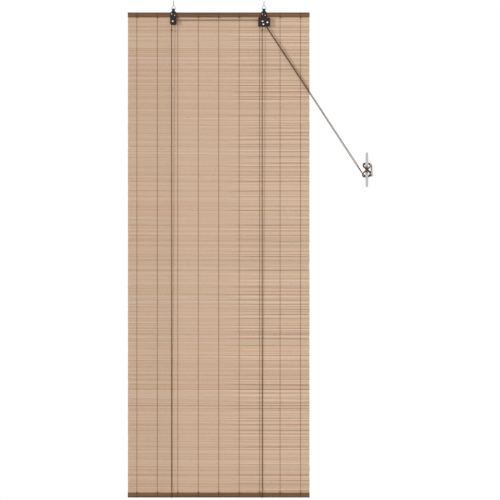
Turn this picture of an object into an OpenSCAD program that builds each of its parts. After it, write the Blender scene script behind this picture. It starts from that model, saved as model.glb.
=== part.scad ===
// Bamboo roll up blind that hangs from two screw hooks, with a cord lock and a wall cleat.
// The origin lies midway between the hooks, on the ceiling. +X is right, +Y the wall, +Z up.

/* [Mat] */
// Width of the mat and of both rails
mat_w = 800; // [500:10:1400]
// Height from the head rail's top edge to the bottom rail's lower edge
blind_h = 2134; // [1200:1:2600]
// Height of one slat with its share of the joint
slat_pitch = 5.5; // [5:0.1:8]
// Thickness of a slat
slat_t = 2; // [1.4:0.1:3]
// Depth of the groove between two slats, on each face
groove_d = 0.5; // [0.2:0.05:0.6]
// Slats from one open joint to the next
slats_per_slit = 4; // [4:1:12]
// Height of an open joint
slit_h = 0.8; // [0.3:0.1:1.2]
// Closed margin at each end of an open joint
slit_margin = 38; // [10:1:80]

/* [Warp threads] */
// Number of warp threads across the mat
thread_n = 9; // [3:1:15]
// Distance of the outer warp threads from the mat's side edges
thread_margin = 40; // [20:1:80]
// Width of a thread
thread_w = 1.6; // [0.8:0.1:3]
// Thickness of a thread
thread_t = 0.7; // [0.4:0.1:1.2]

/* [Rails] */
// Height of each rail
rail_h = 21; // [16:0.5:32]
// Thickness of each rail
rail_t = 10; // [8:0.5:16]
// Radius of the rails' long edges
rail_edge_r = 3; // [1:0.25:3.5]

/* [Hooks and rings] */
// Distance between the two hooks
hook_span = 398; // [200:1:440]
// Radius of the hook's wire
hook_wire_r = 1.3; // [1:0.05:1.6]
// Bend radius of the hook, at the middle of its wire
hook_bend_r = 5.5; // [5:0.1:7]
// Angle of the hook's big bend
hook_bend_a = 275; // [250:1:290]
// Radius of the hook's screw shank
hook_shank_r = 1.9; // [1.5:0.05:2.5]
// Length of the hook's screw shank
hook_shank_l = 22; // [14:0.5:35]
// Radius of the hook's shoulder
hook_shoulder_r = 4.2; // [3:0.1:6]
// Thickness of the hook's shoulder
hook_shoulder_t = 1.5; // [1:0.1:3]
// Radius of the ring's wire
ring_wire_r = 0.9; // [0.7:0.05:1.1]
// Height of the ring between the middles of its wire
ring_h = 17.1; // [15:0.1:24]
// Width of the ring between the middles of its wire
ring_w = 20; // [19:0.1:28]
// Bend radius of the ring's corners, at the middle of its wire
ring_corner_r = 2.4; // [1.8:0.1:3]

/* [Brackets] */
// Thickness of the brackets' steel sheet
sheet_t = 1.2; // [0.8:0.1:1.6]
// Width of a bracket over the head rail
bracket_w = 28; // [26:0.5:36]
// Width of a bracket's neck at its narrowest
neck_w = 11; // [8:0.5:14]
// Height from the ring's base to the head rail's top edge
neck_h = 15; // [14:0.5:24]
// Corner radius of the left bracket's lower edge
plate_corner_r = 5; // [2:0.5:7]
// Clear depth between a bracket's plate and its cover
housing_d = 8.4; // [8:0.1:12]
// Width of the cord lock's housing
lock_w = 52.4; // [50:0.2:64]
// Shift of the lock's housing to the right of its hook
lock_shift = 1; // [0:0.1:3]
// Rise of the two arches in the lock's lower edge
lock_arch_h = 3; // [1:0.25:4]
// Width of the feet beside the arches
lock_foot_w = 5; // [3:0.25:7]

/* [Pulleys and pawl] */
// Radius at the bottom of a pulley's groove
groove_r = 3.8; // [3.6:0.1:4.2]
// Radius of a pulley's flanges
flange_r = 6.2; // [6:0.1:6.6]
// Radius of a rivet's shank
rivet_r = 1.6; // [1.2:0.05:1.9]
// Radius of a rivet's domed head
rivet_head_r = 3.2; // [2.6:0.1:3.8]
// Height from the head rail's lower edge down to the pulleys
pulley_drop = 19; // [16:0.5:24]
// Offset of the left pulley from its hook
left_pulley_dx = -2.4; // [-4:0.1:2]
// Offset of the lock's upper pulley from its hook
upper_pulley_dx = -5.4; // [-7:0.1:-4]
// Step from the upper to the lower lock pulley, sideways
lower_pulley_dx = 3.4; // [2.5:0.1:4]
// Step from the upper to the lower lock pulley, downwards
lower_pulley_dz = 13.4; // [13.4:0.1:15]
// Offset of the pawl's pivot from its hook
pawl_dx = 15.3; // [15:0.1:17]
// Step from the upper lock pulley down to the pawl's pivot
pawl_dz = 4.8; // [3:0.1:6]
// Radius of the pawl's hub
pawl_hub_r = 3.4; // [2.8:0.1:3.8]
// Radius of the pawl's toothed lobe
pawl_lobe_r = 3.4; // [2.8:0.1:3.6]
// Distance from the pawl's pivot down to the middle of its lobe
pawl_arm = 4.2; // [3.6:0.1:4.6]

/* [Cords] */
// Diameter of the cords
cord_d = 3; // [2:0.1:3.2]
// Angle of the cords away from straight down where they leave the lock's pulleys
lock_angle = 28; // [28:0.1:36]

/* [Cleat] */
// Distance of the cleat's middle to the right of the blind's middle
cleat_x = 652; // [560:1:900]
// Distance of the cleat's middle below the ceiling
cleat_drop = 738; // [500:1:1200]
// Distance from the mat's middle plane to the wall
wall_y = 18; // [16:0.5:40]
// Length of the cleat over both horns
cleat_l = 153; // [120:1:200]
// Width of the cleat at its middle
cleat_w = 13; // [10:0.5:18]
// Width of a horn at its tip
horn_tip_w = 10; // [6:0.5:10]
// Depth of a horn where it leaves the pedestal
horn_root_d = 9; // [7:0.5:11]
// Depth of a horn at its tip
horn_tip_d = 5.6; // [4:0.2:7]
// Clear depth between the horns and the wall
horn_gap = 14; // [12:0.5:20]
// Half length of the cleat's pedestal at its waist
waist_l = 22; // [19:0.5:26]
// Distance between the two cleat screws
cleat_screw_gap = 22; // [18:0.5:28]
// Radius of a cleat screw's shank
cleat_screw_r = 2; // [1.5:0.1:2.5]
// Length of a cleat screw's shank beyond the wall's face
cleat_screw_l = 26; // [15:1:40]

/* [Hidden] */
$fn = 48;

// Clearances
run_gap = 0.05;   // shaft in its hole
soft_gap = 0.3;   // cord, thread or slat beside another piece
side_gap = 0.5;   // turning piece beside a plate
butt_gap = 0.2;   // cord end before cord end
cut_over = 1;     // overshoot of a cut
wire_thin = 0.02; // wire that thins in its bends

// Angle of one facet along a bend
bend_a = 15;
cord_bend_a = 22.5;

// Heights, from the ceiling down
hook_mid_z = -(hook_shoulder_t + hook_bend_r * sqrt(3));
ring_apex_z = hook_mid_z - hook_bend_r + hook_wire_r + soft_gap + ring_wire_r;
swing_z = ring_apex_z - ring_h;
rail_top = swing_z - neck_h;
rail_low = rail_top - rail_h;
blind_low = rail_top - blind_h;
bottom_rail_top = blind_low + rail_h;
pulley_z = rail_low - pulley_drop;

// Depths, from the mat's middle plane: the room is at -Y
rail_face_y = -rail_t / 2;
plate_face_y = rail_face_y - sheet_t;
cover_back_y = plate_face_y - housing_d;
cover_face_y = cover_back_y - sheet_t;
pulley_y = plate_face_y - housing_d / 2;
turning_w = housing_d - 2 * side_gap;

// Places across the blind
left_x = -hook_span / 2;
right_x = hook_span / 2;
left_pulley_x = left_x + left_pulley_dx;
upper_pulley_x = right_x + upper_pulley_dx;
lower_pulley_x = upper_pulley_x + lower_pulley_dx;
lower_pulley_z = pulley_z - lower_pulley_dz;
pawl_x = right_x + pawl_dx;
pawl_z = pulley_z - pawl_dz;
thread_pitch = (mat_w - 2 * thread_margin) / (thread_n - 1);
thread_x = [for (i = [0 : thread_n - 1]) (i - (thread_n - 1) / 2) * thread_pitch];

// Brackets
hole_r = rivet_r + run_gap;
curl_bore_r = ring_wire_r + run_gap;
curl_r = curl_bore_r + sheet_t;
curl_play = 0.6;
curl_w = ring_w - 2 * (ring_corner_r + curl_play);
crank_lift = 2;
crank_reach = 7;
crank_low = rail_top + crank_lift;
crank_top = swing_z - crank_reach;
shoulder_drop = 2.4;
cover_gap = 3.2;
cover_top = rail_low - cover_gap;
left_skirt = 8.8;
left_plate_low = pulley_z - flange_r - left_skirt;
lock_skirt = 4.2;
lock_low = lower_pulley_z - flange_r - lock_skirt;
slot_room = 5;
cord_slot_h = cord_d + slot_room;
nail_places = [[-7, -7.5], [5.6, -13]];
nail_r = 1.1;
nail_head_r = 2.2;
nail_l = 7;
head_h = 1.2;
rivet_foot_r = 2.6;
rivet_foot_h = 1;

// Pulleys, pawl and cords
cord_r = cord_d / 2;
cord_run_r = groove_r + soft_gap + cord_r;
groove_w = cord_d + 2 * soft_gap;
groove_slope = cord_r / 4;
tooth_r = 0.45;
tooth_angles = [150 : 25 : 275];
draw_exit_drop = 1;
draw_exit_z = lock_low - draw_exit_drop;
straight_l = 8 * cord_d;
cord_sides = 8;
wire_sides = 12;

// Slats
mat_h = blind_h - 2 * rail_h;
slat_n = floor(mat_h / slat_pitch);
slat_step = (mat_h - soft_gap) / slat_n;
slit_n = floor((slat_n - 1) / slats_per_slit);

// Cleat
horn_back_y = wall_y - horn_gap;
horn_face_y = horn_back_y - horn_root_d;
horn_mid_y = (horn_back_y + horn_face_y) / 2;
cleat_z = -cleat_drop;
neck_step = 0.2;
screw_neck_r = cleat_screw_r + neck_step;
foot_t = 2.4;
waist_r = 5.5;
screw_head_r = 4;

// Pointed end of the hooks' shanks and of the cleat screws
screw_tip_l = 4;
screw_point_r = 0.5;

// Staples that hold the lift cords at the back of the head rail
staple_wire_r = 0.8;
staple_l = 6;
staple_half_w = cord_r + soft_gap + staple_wire_r;
staple_z = rail_top - rail_h / 2;
cord_back_y = rail_t / 2 + soft_gap + cord_r;
staple_back_y = cord_back_y + cord_r + soft_gap + staple_wire_r;
cord_tail = 4;

// Front strand of a lift cord: [depth off the mat's face, share of the drop from the pulley]
strand_rest = [[0, 0.8], [0, 0.975]];

// Route of the doubled draw cord round the cleat, measured from the cleat's middle at the wall
winding_route = [
    [-20.5, -11, -14], [-13, -10.5, -22.5], [-7, -9, -28.5], [0, -8, -30.5], [7, -9, -29],
    [12, -14, -23], [13, -21, -14], [7, -26, -6], [0, -27, 0], [-7, -26, 7], [-13, -20, 15],
    [-11, -14, 23], [-7, -9, 28], [0, -8, 30], [7, -9, 28], [12, -15, 23], [14, -23, 14],
    [8, -30, 7], [0, -31, 0], [-9, -30, -8], [-18, -23, -17], [-19, -12, -25.5], [-9, -4.5, -31],
    [0, -4, -31], [8, -5, -30], [16, -11, -25], [17, -23, -14], [9, -33, -7], [0, -35, 0],
    [-10, -33, 8], [-17, -22, 17], [-15, -10, 25], [-7, -4, 29], [0, -4, 30], [8, -5.5, 28.2]
];
strand_play = 0.4;
strand_gap = cord_d + strand_play;

// Place above the cleat where the strands still lie side by side, and their distance there
approach_place = [-51.4, -22, 32];
approach_gap = cord_d + 2;

// Loop at the draw cord's middle, which hangs beside the winding
loop_route = [
    [16, -10.5, 27], [20.6, -16, 21], [21.8, -23.5, 9], [21.6, -29, -6], [22.2, -32, -18],
    [22.6, -33, -27], [20.4, -33.5, -30.2], [18.2, -33.5, -27], [17.6, -32.5, -18],
    [17.2, -29.5, -6], [18, -25, 9], [17.7, -17.5, 17.2], [14, -10.4, 23]
];

function unit(v) = v / norm(v);
function at_angle(r, a) = [r * cos(a), r * sin(a)];
function arc_points(mid, r, from, to, step_a = bend_a) =
    let (steps = ceil(abs(to - from) / step_a))
    [for (i = [0 : steps]) mid + at_angle(r, from + (to - from) * i / steps)];
function flipped(list) = [for (i = [len(list) - 1 : -1 : 0]) list[i]];

// Closed outline of a half and of its mirror image, where sign is [-1, 1] or [1, -1]
function both_halves(half, sign) =
    concat(half, flipped([for (p = half) [p[0] * sign[0], p[1] * sign[1]]]));
function in_xz(points, y) = [for (p = points) [p[0], y, p[1]]];
function in_yz(points, x) = [for (p = points) [x, p[0], p[1]]];

// Direction of a route at its point i
function along(route, i) =
    unit(route[min(i + 1, len(route) - 1)] - route[max(i - 1, 0)]);

// Part of u that is square to the direction t
function squared(u, t) = unit(u - (u * t) * t);

// Sideways directions carried along a route without twist
function carried(route, u0) = [
    for (i = 0, u = squared(u0, along(route, 0)); i < len(route);
         i = i + 1, u = i < len(route) ? squared(u, along(route, i)) : u) u
];

// Points of a tube's rings: each ring is square to its route
function tube_points(route, r, side, sides) = [
    for (i = [0 : len(route) - 1])
        let (u = side[i], v = cross(along(route, i), u))
        for (k = [0 : sides - 1])
            let (a = 360 * k / sides)
            route[i] + r * (cos(a) * u + sin(a) * v)
];

// Round bar swept along a route
module tube(route, r, side, sides) {
    rings = len(route);
    last = (rings - 1) * sides;
    walls = [
        for (i = [0 : rings - 2], k = [0 : sides - 1])
            let (a = i * sides, b = (k + 1) % sides)
            [a + k, a + sides + k, a + sides + b, a + b]
    ];
    start = [for (k = [0 : sides - 1]) k];
    end = [for (k = [sides - 1 : -1 : 0]) last + k];
    polyhedron(tube_points(route, r, carried(route, side), sides), concat([start, end], walls));
}

// Plain cord along its route
module cord_tube(route, side) {
    tube(route, cord_r, side, cord_sides);
}

// 2D shape in Y and Z, carried along X
module along_x(w) {
    rotate([90, 0, 90]) linear_extrude(w, center = true) children();
}

// 2D shape in X and Z, carried along Y
module along_y(from, to) {
    translate([0, to, 0]) rotate([90, 0, 0]) linear_extrude(to - from) children();
}

// Round pin along Y
module pin_y(r, from, to) {
    translate([0, to, 0]) rotate([90, 0, 0]) cylinder(r = r, h = to - from);
}

// Domed head that stands on the plane y and looks to the room
module dome_y(r, h, y) {
    ball_r = (r * r + h * h) / (2 * h);
    translate([0, y, 0]) rotate([90, 0, 0]) rotate_extrude() intersection() {
        translate([0, h - ball_r]) circle(ball_r);
        square([r, h]);
    }
}

module rounded_rect(w, h, r) {
    square([w, h - 2 * r], center = true);
    square([w - 2 * r, h], center = true);
    for (x = [-1, 1], y = [-1, 1]) translate([x * (w / 2 - r), y * (h / 2 - r)]) circle(r);
}

// Screw shank that points up, with its tip
module screw_shank(r, l, tip_l) {
    cylinder(r = r, h = l - tip_l);
    translate([0, 0, l - tip_l]) cylinder(r1 = r, r2 = screw_point_r, h = tip_l);
}

// Screw hook: shank and shoulder above, then an S bend into the open eye
module screw_hook() {
    join_a = 60;
    wire = concat(
        [[0, -hook_shoulder_t / 2]],
        arc_points([hook_bend_r, -hook_shoulder_t], hook_bend_r, 180, 180 + join_a),
        arc_points([0, hook_mid_z], hook_bend_r, join_a - bend_a, join_a - hook_bend_a)
    );
    color("silver") {
        translate([0, 0, -hook_shoulder_t]) cylinder(r = hook_shoulder_r, h = hook_shoulder_t);
        screw_shank(hook_shank_r, hook_shank_l, screw_tip_l);
        tube(in_yz(wire, 0), hook_wire_r, [1, 0, 0], wire_sides);
    }
}

// Three sided wire ring that hangs in a hook and carries a bracket on its straight base
module wire_ring() {
    mid = [ring_w / 2 - ring_corner_r, ring_corner_r];
    top = [0, ring_h - ring_corner_r];
    way = top - mid;
    lean = atan2(-way[0], way[1]);
    half = concat(
        [[mid[0] - ring_wire_r, 0]],
        arc_points(mid, ring_corner_r, -90, lean, 2 * bend_a),
        arc_points(top, ring_corner_r, lean, 90)
    );
    other = [for (i = [len(half) - 2 : -1 : 0]) [-half[i][0], half[i][1]]];
    color("silver") translate([0, 0, swing_z]) {
        translate([-mid[0], 0, 0]) rotate([0, 90, 0]) cylinder(r = ring_wire_r, h = 2 * mid[0]);
        tube(in_xz(concat(half, other), 0), ring_wire_r - wire_thin, [0, 1, 0], wire_sides);
    }
}

// Side of a bracket's front outline from its curl over its neck to its shoulder, from the middle
neck_side = [
    [curl_w / 2, swing_z + curl_r + cut_over], [curl_w / 2, swing_z - curl_r], [neck_w / 2, crank_top],
    [bracket_w / 2, rail_top - shoulder_drop]
];

// Side profile of a bracket's sheet: flat on the rail, cranked back, curled round the ring
module sheet_profile(low) {
    curl_end_a = acos(curl_bore_r / curl_r) - 180;
    difference() {
        polygon(concat(
            [[rail_face_y, crank_low], [rail_face_y, low], [plate_face_y, low], [plate_face_y, crank_low]],
            [[-curl_r, crank_top]],
            arc_points([0, swing_z], curl_r, 180, curl_end_a),
            [[-curl_bore_r, crank_top]]
        ));
        translate([0, swing_z]) circle(curl_bore_r);
    }
}

// Bracket plate of a front outline, with its nail holes
module bracket_plate(low, w) {
    color("dimgray") difference() {
        intersection() {
            along_x(2 * w) sheet_profile(low);
            along_y(2 * plate_face_y, -plate_face_y) children();
        }
        for (p = nail_places) translate([p[0], 0, rail_top + p[1]])
            pin_y(nail_r + run_gap, plate_face_y - cut_over, rail_face_y + cut_over);
    }
}

// Hole for a rivet through a plate or a cover
module rivet_hole(x, z) {
    translate([x, 0, z]) pin_y(hole_r, cover_face_y - cut_over, rail_face_y + cut_over);
}

// Rivet from the back of a plate to the front of its cover
module rivet(x, z) {
    color("gainsboro") translate([x, 0, z]) {
        pin_y(rivet_r, cover_face_y, rail_face_y);
        pin_y(rivet_foot_r, rail_face_y, rail_face_y + rivet_foot_h);
        dome_y(rivet_head_r, head_h, cover_face_y);
    }
}

// Two round headed nails that hold a bracket on the head rail
module bracket_nails(x) {
    color("gainsboro") for (p = nail_places) translate([x + p[0], 0, rail_top + p[1]]) {
        pin_y(nail_r, plate_face_y, rail_face_y + nail_l);
        dome_y(nail_head_r, head_h, plate_face_y);
    }
}

// Cord pulley between two flanges, on its rivet
module pulley(x, z) {
    half = turning_w / 2;
    color("black") translate([x, pulley_y, z]) rotate([90, 0, 0]) rotate_extrude()
        polygon([
            [hole_r, -half], [flange_r, -half], [flange_r, -groove_w / 2 - groove_slope],
            [groove_r, -groove_w / 2 + groove_slope], [groove_r, groove_w / 2 - groove_slope],
            [flange_r, groove_w / 2 + groove_slope], [flange_r, half], [hole_r, half]
        ]);
}

module left_hook() {
    translate([left_x, 0, 0]) screw_hook();
}

module right_hook() {
    translate([right_x, 0, 0]) screw_hook();
}

module left_ring() {
    translate([left_x, 0, 0]) wire_ring();
}

module right_ring() {
    translate([right_x, 0, 0]) wire_ring();
}

// Rounded lower end of the left bracket, up to a height
module left_end_outline(top) {
    translate([0, (top + left_plate_low) / 2])
        rounded_rect(bracket_w, top - left_plate_low, plate_corner_r);
}

module left_bracket_plate() {
    corner = [bracket_w / 2 - plate_corner_r, left_plate_low + plate_corner_r];
    side = concat(neck_side, arc_points(corner, plate_corner_r, 0, -90));
    color("dimgray") difference() {
        translate([left_x, 0, 0]) bracket_plate(left_plate_low, bracket_w)
            polygon(both_halves(side, [-1, 1]));
        rivet_hole(left_pulley_x, pulley_z);
    }
}

// Box shaped cover, open to the plate and below, from a front outline
module cover_shell(w, top, low, slot_z) {
    side = w / 2 - sheet_t;
    difference() {
        along_y(cover_face_y, plate_face_y) children();
        translate([-side, cover_back_y, low - cut_over])
            cube([2 * side, housing_d + cut_over, top - sheet_t - low + cut_over]);
        translate([slot_z[0], cover_back_y, slot_z[1] - cord_slot_h / 2])
            cube([w, housing_d + cut_over, cord_slot_h]);
    }
}

module left_pulley_cover() {
    color("black") difference() {
        translate([left_x, 0, 0])
            cover_shell(bracket_w, cover_top, left_plate_low, [0, pulley_z + cord_run_r])
                left_end_outline(cover_top);
        rivet_hole(left_pulley_x, pulley_z);
    }
}

module left_pulley() {
    pulley(left_pulley_x, pulley_z);
}

module left_pulley_rivet() {
    rivet(left_pulley_x, pulley_z);
}

module left_bracket_nails() {
    bracket_nails(left_x);
}

// Two shallow arches along the lock's lower edge
module lock_arches() {
    arch_w = lock_w / 2 - lock_foot_w;
    arch_r = (arch_w * arch_w / 4 + lock_arch_h * lock_arch_h) / (2 * lock_arch_h);
    for (s = [-1, 1]) translate([lock_shift + s * lock_w / 4, lock_low + lock_arch_h - arch_r])
        circle(arch_r, $fn = 96);
}

// Side of the lock's plate: a bracket's neck that widens to the lock's box
function lock_side(s) = concat(
    [for (p = neck_side) [s * p[0], p[1]]],
    [[s * bracket_w / 2, cover_top]],
    [for (z = [cover_top, lock_low]) [lock_shift + s * lock_w / 2, z]]
);

module right_bracket_plate() {
    color("dimgray") difference() {
        translate([right_x, 0, 0]) bracket_plate(lock_low, lock_w) difference() {
            polygon(concat(lock_side(1), flipped(lock_side(-1))));
            lock_arches();
        }
        rivet_hole(upper_pulley_x, pulley_z);
        rivet_hole(lower_pulley_x, lower_pulley_z);
        rivet_hole(pawl_x, pawl_z);
    }
}

module lock_cover() {
    color("black") difference() {
        translate([right_x + lock_shift, 0, 0])
            cover_shell(lock_w, cover_top, lock_low, [-lock_w, pulley_z + cord_run_r]) difference() {
                translate([0, (cover_top + lock_low) / 2])
                    rounded_rect(lock_w, cover_top - lock_low, sheet_t);
                translate([-lock_shift, 0]) lock_arches();
            }
        rivet_hole(upper_pulley_x, pulley_z);
        rivet_hole(lower_pulley_x, lower_pulley_z);
        rivet_hole(pawl_x, pawl_z);
    }
}

module upper_lock_pulley() {
    pulley(upper_pulley_x, pulley_z);
}

module lower_lock_pulley() {
    pulley(lower_pulley_x, lower_pulley_z);
}

// Pawl: a toothed lobe that hangs under its pivot and swings up to pinch the draw cord
module lock_pawl() {
    color("black") translate([pawl_x, pulley_y, pawl_z]) along_y(-turning_w / 2, turning_w / 2)
        difference() {
            union() {
                circle(pawl_hub_r);
                translate([0, -pawl_arm]) circle(pawl_lobe_r);
                translate([-pawl_hub_r, -pawl_arm]) square([2 * pawl_hub_r, pawl_arm]);
            }
            circle(hole_r);
            for (a = tooth_angles) translate([0, -pawl_arm])
                translate(at_angle(pawl_lobe_r, a)) circle(tooth_r, $fn = 16);
        }
}

module upper_pulley_rivet() {
    rivet(upper_pulley_x, pulley_z);
}

module lower_pulley_rivet() {
    rivet(lower_pulley_x, lower_pulley_z);
}

module pawl_rivet() {
    rivet(pawl_x, pawl_z);
}

module right_bracket_nails() {
    bracket_nails(right_x);
}

module rail(low) {
    translate([0, 0, low + rail_h / 2]) along_x(mat_w) rounded_rect(rail_t, rail_h, rail_edge_r);
}

module head_rail() {
    color("saddlebrown") difference() {
        rail(rail_low);
        for (x = [left_x, right_x], p = nail_places) translate([x + p[0], 0, rail_top + p[1]])
            pin_y(nail_r + run_gap, rail_face_y - cut_over, rail_face_y + nail_l + run_gap);
        for (x = [left_pulley_x - cord_run_r, lower_pulley_x - cord_run_r], s = [-1, 1])
            translate([x + s * staple_half_w, 0, staple_z])
                pin_y(staple_wire_r + run_gap, rail_t / 2 - staple_l - run_gap, rail_t / 2 + cut_over);
    }
}

module bottom_rail() {
    color("saddlebrown") rail(blind_low);
}

// Woven mat: one ridge per slat on each face, and open joints between groups of slats
module bamboo_mat() {
    crest = slat_t / 2;
    valley = crest - groove_d;
    face = [
        for (i = [0 : 2 * slat_n])
            [i % 2 == 0 ? valley : crest, rail_low - i * slat_step / 2]
    ];
    color("tan") difference() {
        along_x(mat_w) polygon(both_halves(face, [-1, 1]));
        along_y(-slat_t, slat_t) for (i = [1 : slit_n])
            translate([0, rail_low - i * slats_per_slit * slat_step])
                square([mat_w - 2 * slit_margin, slit_h], center = true);
    }
}

// Loop of a thread seen from the side: round both rails and along both faces of the mat
module thread_outline(grow) {
    mat_y = slat_t / 2 + butt_gap + grow;
    rail_y = rail_t / 2 + butt_gap + grow;
    top = rail_top + butt_gap + grow;
    low = blind_low - butt_gap - grow;
    step = rail_t / 2;
    right = [
        [rail_y - rail_edge_r / 2, top], [rail_y, top - rail_edge_r / 2], [rail_y, rail_low],
        [mat_y, rail_low - step], [mat_y, bottom_rail_top + step],
        [rail_y, bottom_rail_top], [rail_y, low + rail_edge_r / 2], [rail_y - rail_edge_r / 2, low]
    ];
    polygon(both_halves(right, [-1, 1]));
}

module warp_threads() {
    color("sienna") for (x = thread_x) translate([x, 0, 0]) along_x(thread_w) difference() {
        thread_outline(thread_t);
        thread_outline(0);
    }
}

// Staples that pin the lift cords' tied ends on the back of the head rail
module cord_staples() {
    color("silver") for (x = [left_pulley_x, lower_pulley_x]) translate([x - cord_run_r, 0, staple_z]) {
        for (s = [-1, 1]) translate([s * staple_half_w, 0, 0]) {
            pin_y(staple_wire_r, rail_t / 2 - staple_l, staple_back_y);
            translate([0, staple_back_y, 0]) sphere(staple_wire_r);
        }
        translate([-staple_half_w, staple_back_y, 0]) rotate([0, 90, 0])
            cylinder(r = staple_wire_r, h = 2 * staple_half_w);
    }
}

// Lift cord: down the back of the mat, round the bottom rail and up the front to its pulley
module lift_cord(x, top_z) {
    bend_r = rail_edge_r + soft_gap + cord_r;
    edge_y = rail_t / 2 - rail_edge_r;
    edge_z = blind_low + rail_edge_r;
    drop = top_z - blind_low;
    rest_y = -(slat_t / 2 + soft_gap + cord_r);
    route = concat(
        [[cord_back_y, staple_z + cord_tail], [cord_back_y, bottom_rail_top]],
        arc_points([edge_y, edge_z], bend_r, 0, -90, cord_bend_a),
        arc_points([-edge_y, edge_z], bend_r, -90, -180, cord_bend_a),
        [[-cord_back_y, bottom_rail_top]],
        [for (p = flipped(strand_rest)) [rest_y - p[0], top_z - p[1] * drop]],
        [[pulley_y, top_z - butt_gap]]
    );
    color("saddlebrown") cord_tube(in_yz(route, x), [1, 0, 0]);
}

module left_lift_cord() {
    lift_cord(left_pulley_x - cord_run_r, pulley_z);
}

module right_lift_cord() {
    lift_cord(lower_pulley_x - cord_run_r, lower_pulley_z);
}

// Where a cord that turned over a pulley leaves the lock
function lock_exit(x, z) =
    let (p = [x, z] + at_angle(cord_run_r, lock_angle))
    [p[0] + (p[1] - draw_exit_z) * tan(lock_angle), pulley_y, draw_exit_z];

upper_exit = lock_exit(upper_pulley_x, pulley_z);
lower_exit = lock_exit(lower_pulley_x, lower_pulley_z);

// Cord from the left pulley across to the lock and over the upper pulley
module cross_cord() {
    over_left = arc_points([left_pulley_x, pulley_z], cord_run_r, 180, 90, cord_bend_a);
    over_upper = arc_points([upper_pulley_x, pulley_z], cord_run_r, 90, lock_angle, cord_bend_a);
    color("saddlebrown")
        cord_tube(concat(in_xz(concat(over_left, over_upper), pulley_y), [upper_exit]), [0, 1, 0]);
}

// Right lift cord's turn over the lower pulley
module lock_cord() {
    over_lower = arc_points([lower_pulley_x, lower_pulley_z], cord_run_r, 180, lock_angle, cord_bend_a);
    color("saddlebrown") cord_tube(concat(in_xz(over_lower, pulley_y), [lower_exit]), [0, 1, 0]);
}

// Middle line of the winding, and the sideways direction that keeps both strands flat on the cleat
function on_cleat(route) = [for (p = route) p + [cleat_x, wall_y, cleat_z]];
winding = on_cleat(winding_route);
function strand_side(i) =
    let (p = winding[i], out = unit([p[0] - cleat_x, p[1] - horn_mid_y, 0]))
    unit(cross(out, along(winding, i)));
function strand(sign) =
    [for (i = [0 : len(winding) - 1]) winding[i] + sign * strand_gap / 2 * strand_side(i)];

// Straight run from the lock to the cleat, from the lock on
approach = on_cleat([approach_place])[0];
draw_dir = unit(approach - (upper_exit + lower_exit) / 2);
draw_side = unit(cross([0, -1, 0], draw_dir));
function draw_run(exit, sign) = [
    exit + butt_gap * draw_dir,
    exit + straight_l * draw_dir,
    approach + sign * approach_gap / 2 * draw_side
];

// Doubled draw cord: from the lock to the cleat, round its horns to the loop end, and back
module draw_cord() {
    route = concat(
        draw_run(upper_exit, 1), strand(-1), on_cleat(loop_route),
        flipped(concat(draw_run(lower_exit, -1), strand(1)))
    );
    color("saddlebrown") cord_tube(route, [0, 1, 0]);
}

// Side profile of the cleat: foot, waisted pedestal and two horns
module cleat_profile() {
    tip_r = horn_tip_d / 2;
    tip_z = cleat_l / 2 - tip_r;
    tip_y = horn_back_y - tip_r - (horn_root_d - horn_tip_d) / 2;
    base_l = waist_l + waist_r;
    waist_y = [horn_back_y + waist_r, wall_y - foot_t - waist_r];
    upper = concat(
        [[wall_y, base_l], [horn_back_y, base_l]],
        arc_points([tip_y, tip_z], tip_r, 0, 180),
        [[horn_face_y, base_l]]
    );
    difference() {
        polygon(both_halves(upper, [1, -1]));
        for (s = [-1, 1], y = waist_y) translate([y, s * base_l]) circle(waist_r);
    }
}

// Front outline of the cleat, tapered to its rounded horns
module cleat_outline() {
    tip_r = horn_tip_w / 2;
    tip_z = cleat_l / 2 - tip_r;
    upper = concat(
        [[-cleat_w / 2, waist_l]],
        arc_points([0, tip_z], tip_r, 180, 0),
        [[cleat_w / 2, waist_l]]
    );
    polygon(both_halves(upper, [1, -1]));
}

module cleat() {
    color("lightgray") translate([cleat_x, 0, cleat_z]) difference() {
        intersection() {
            along_x(2 * cleat_w) cleat_profile();
            along_y(horn_face_y - cut_over, wall_y + cut_over) cleat_outline();
        }
        for (s = [-1, 1]) translate([0, 0, s * cleat_screw_gap / 2]) {
            pin_y(screw_neck_r + run_gap, horn_face_y - cut_over, wall_y + cut_over);
            pin_y(screw_head_r + run_gap, horn_face_y - cut_over, horn_mid_y);
        }
    }
}

// Pan headed screws that hold the cleat on the wall
module cleat_screws() {
    color("gainsboro") for (s = [-1, 1]) translate([cleat_x, 0, cleat_z + s * cleat_screw_gap / 2]) {
        pin_y(screw_neck_r, horn_mid_y, wall_y);
        translate([0, wall_y, 0]) rotate([-90, 0, 0])
            screw_shank(cleat_screw_r, cleat_screw_l, screw_tip_l);
        dome_y(screw_head_r, horn_mid_y - horn_face_y - soft_gap, horn_mid_y);
    }
}

left_hook();
right_hook();
left_ring();
right_ring();
left_bracket_plate();
left_pulley_cover();
left_pulley();
left_pulley_rivet();
left_bracket_nails();
right_bracket_plate();
lock_cover();
upper_lock_pulley();
lower_lock_pulley();
lock_pawl();
upper_pulley_rivet();
lower_pulley_rivet();
pawl_rivet();
right_bracket_nails();
head_rail();
bamboo_mat();
warp_threads();
bottom_rail();
cord_staples();
left_lift_cord();
right_lift_cord();
cross_cord();
lock_cord();
draw_cord();
cleat();
cleat_screws();
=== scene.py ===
"""Bamboo roll up blind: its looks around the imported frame, in metres, +Z up and the room at -Y."""
import math

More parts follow.
